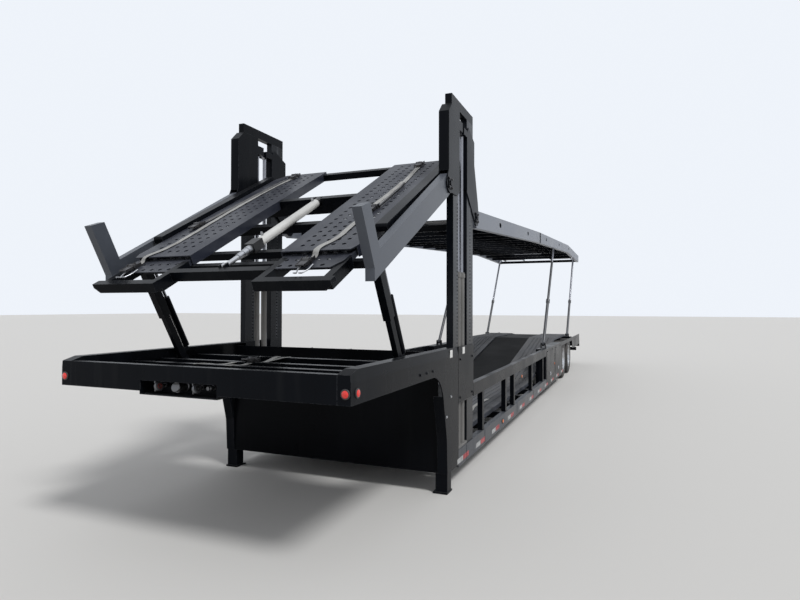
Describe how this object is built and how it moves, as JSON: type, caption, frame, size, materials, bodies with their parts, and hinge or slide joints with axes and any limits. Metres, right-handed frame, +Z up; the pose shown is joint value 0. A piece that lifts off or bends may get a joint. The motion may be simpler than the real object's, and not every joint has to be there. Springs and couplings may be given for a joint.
{
  "type": "car transporter semi-trailer",
  "caption": "Two-deck car transporter semi-trailer with a kingpin neck, a lifting and tilting head rack, a lifting rear upper deck on telescopic struts and twin-tyred axles.",
  "frame": {"origin": "on the ground, midway along the overall length and width", "axes": "+X towards the coupling end, +Y towards the trailer's left side, +Z up"},
  "size_m": [16.15, 2.59, 3.9],
  "materials": {
    "arm_grey": "satin dark grey paint",
    "bare_steel": "machined steel",
    "chrome_rod": "hard chrome, bright",
    "cylinder_white": "white paint",
    "frame_black": "satin black paint",
    "polished_rim": "polished aluminium",
    "track_grey": "dark blue-grey paint, worn by tyres",
    "tyre": "black rubber"
  },
  "bodies": {
    "frame": {"axles": "bare_steel", "bulkhead": "frame_black", "centre_panel": "frame_black", "chassis_beams": "frame_black", "fender_strips": "frame_black", "floor_crossmembers": "frame_black", "foot_brackets": "frame_black", "gussets": "frame_black", "header": "frame_black", "high_rails": "frame_black", "kingpin": "bare_steel", "landing_legs": "frame_black", "lift_barrels": "frame_black", "lift_posts": "frame_black", "low_rails": "frame_black", "low_tracks": "track_grey", "neck_floor": "frame_black", "neck_rails": "frame_black", "post_covers": "frame_black", "rear_guard": "frame_black", "side_boxes": "frame_black", "side_stanchions": "frame_black", "suspension_arms": "frame_black", "tail_beam": "frame_black", "top_bars": "frame_black"},
    "front_carriage": {"front_carriages": "frame_black", "front_lift_rods": "chrome_rod"},
    "head_hinge": {"head_pins": "bare_steel"},
    "head_rack": {"head_tracks": "track_grey", "head_arms": "arm_grey", "head_beams": "frame_black", "side_tubes": "frame_black", "head_cylinder": "cylinder_white"},
    "head_extension": {"extension_lips": "track_grey", "extension_frame": "frame_black", "head_cylinder_rod": "chrome_rod"},
    "front_leg_lower": {"leg_inners": "frame_black", "leg_barrels": "frame_black"},
    "front_leg_upper": {"leg_outers": "frame_black", "leg_rods": "chrome_rod"},
    "rear_carriage": {"rear_carriages": "frame_black", "rear_lift_rods": "chrome_rod"},
    "deck_hinge": {"deck_pins": "bare_steel"},
    "rear_deck": {"deck_rails": "arm_grey", "deck_crossmembers": "frame_black", "deck_tracks": "track_grey"},
    "mid_strut_lower": {"strut_1_barrels": "frame_black"},
    "mid_strut_middle": {"strut_1_sleeves": "frame_black"},
    "mid_strut_upper": {"strut_1_rods": "chrome_rod"},
    "rear_strut_lower": {"strut_2_barrels": "frame_black"},
    "rear_strut_upper": {"strut_2_rods": "chrome_rod"},
    "wheel_1_left": {"tyres_1_left": "tyre", "rims_1_left": "polished_rim"},
    "wheel_1_right": {"tyres_1_right": "tyre", "rims_1_right": "polished_rim"},
    "wheel_2_left": {"tyres_2_left": "tyre", "rims_2_left": "polished_rim"},
    "wheel_2_right": {"tyres_2_right": "tyre", "rims_2_right": "polished_rim"}
  },
  "joints": [
    {"name": "head_lift", "type": "slide", "parent": "frame", "child": "front_carriage", "axis": [0, 0, 1], "range_m": [-1.3, 0]},
    {"name": "head_level", "type": "hinge", "parent": "front_carriage", "child": "head_hinge", "pos_m": [5.99, 0, 2.985], "axis": [0, -1, 0], "range_deg": [-0.5, 40.72]},
    {"name": "head_tilt", "type": "hinge", "parent": "head_hinge", "child": "head_rack", "pos_m": [5.99, 0, 2.985], "axis": [0, -1, 0], "range_deg": [-5, 6]},
    {"name": "head_extend", "type": "slide", "parent": "head_rack", "child": "head_extension", "axis": [0.8838, 0, -0.4679], "range_m": [0, 0.4]},
    {"name": "front_leg_lean", "type": "hinge", "parent": "frame", "child": "front_leg_lower", "pos_m": [6.895, 0, 1.27], "axis": [0, -1, 0], "range_deg": [-19.12, 0.5]},
    {"name": "front_leg_stroke", "type": "slide", "parent": "front_leg_lower", "child": "front_leg_upper", "axis": [0.4987, 0, 0.8667], "range_m": [-0.1473, 0.1758]},
    {"name": "rear_lift", "type": "slide", "parent": "frame", "child": "rear_carriage", "axis": [0, 0, 1], "range_m": [-1.2, 0]},
    {"name": "deck_level", "type": "hinge", "parent": "rear_carriage", "child": "deck_hinge", "pos_m": [4.985, 0, 2.795], "axis": [0, -1, 0], "range_deg": [-6.04, 0.5]},
    {"name": "rear_tilt", "type": "hinge", "parent": "deck_hinge", "child": "rear_deck", "pos_m": [4.985, 0, 2.795], "axis": [0, -1, 0], "range_deg": [-1, 7.5]},
    {"name": "mid_strut_lean", "type": "hinge", "parent": "frame", "child": "mid_strut_lower", "pos_m": [-1.075, 0, 1.01], "axis": [0, -1, 0], "range_deg": [-2.78, 17.59]},
    {"name": "mid_strut_tilt_stroke", "type": "slide", "parent": "mid_strut_lower", "child": "mid_strut_middle", "axis": [-0.6059, 0, 0.7955], "range_m": [-0.7273, 0.1013]},
    {"name": "mid_strut_lift_stroke", "type": "slide", "parent": "mid_strut_middle", "child": "mid_strut_upper", "axis": [-0.6059, 0, 0.7955], "range_m": [-0.4037, 0.005]},
    {"name": "rear_strut_lean", "type": "hinge", "parent": "frame", "child": "rear_strut_lower", "pos_m": [-5.685, 0, 1.01], "axis": [0, -1, 0], "range_deg": [-4.62, 31.39]},
    {"name": "rear_strut_stroke", "type": "slide", "parent": "rear_strut_lower", "child": "rear_strut_upper", "axis": [-0.61, 0, 0.7924], "range_m": [-1.0525, 0.1447]},
    {"name": "spin_1_left", "type": "hinge", "parent": "frame", "child": "wheel_1_left", "pos_m": [-3.795, 1.007, 0.468], "axis": [0, 1, 0], "continuous": true},
    {"name": "spin_1_right", "type": "hinge", "parent": "frame", "child": "wheel_1_right", "pos_m": [-3.795, -1.007, 0.468], "axis": [0, 1, 0], "continuous": true},
    {"name": "spin_2_left", "type": "hinge", "parent": "frame", "child": "wheel_2_left", "pos_m": [-5.04, 1.007, 0.468], "axis": [0, 1, 0], "continuous": true},
    {"name": "spin_2_right", "type": "hinge", "parent": "frame", "child": "wheel_2_right", "pos_m": [-5.04, -1.007, 0.468], "axis": [0, 1, 0], "continuous": true}
  ],
  "couplings": [
    {"joint": "head_level", "follows": "head_lift", "rad_per_m": -0.54},
    {"joint": "front_leg_lean", "follows": "head_lift", "rad_per_m": 0.25},
    {"joint": "front_leg_stroke", "follows": "head_tilt", "m_per_rad": 1.631},
    {"joint": "deck_level", "follows": "rear_lift", "rad_per_m": 0.0806},
    {"joint": "mid_strut_lean", "follows": "rear_tilt", "ratio": 2.2781},
    {"joint": "mid_strut_tilt_stroke", "follows": "rear_tilt", "m_per_rad": -5.5177},
    {"joint": "mid_strut_lift_stroke", "follows": "rear_lift", "ratio": 0.33227},
    {"joint": "rear_strut_lean", "follows": "rear_tilt", "ratio": 4.1193},
    {"joint": "rear_strut_stroke", "follows": "rear_tilt", "m_per_rad": -8.0027}
  ]
}
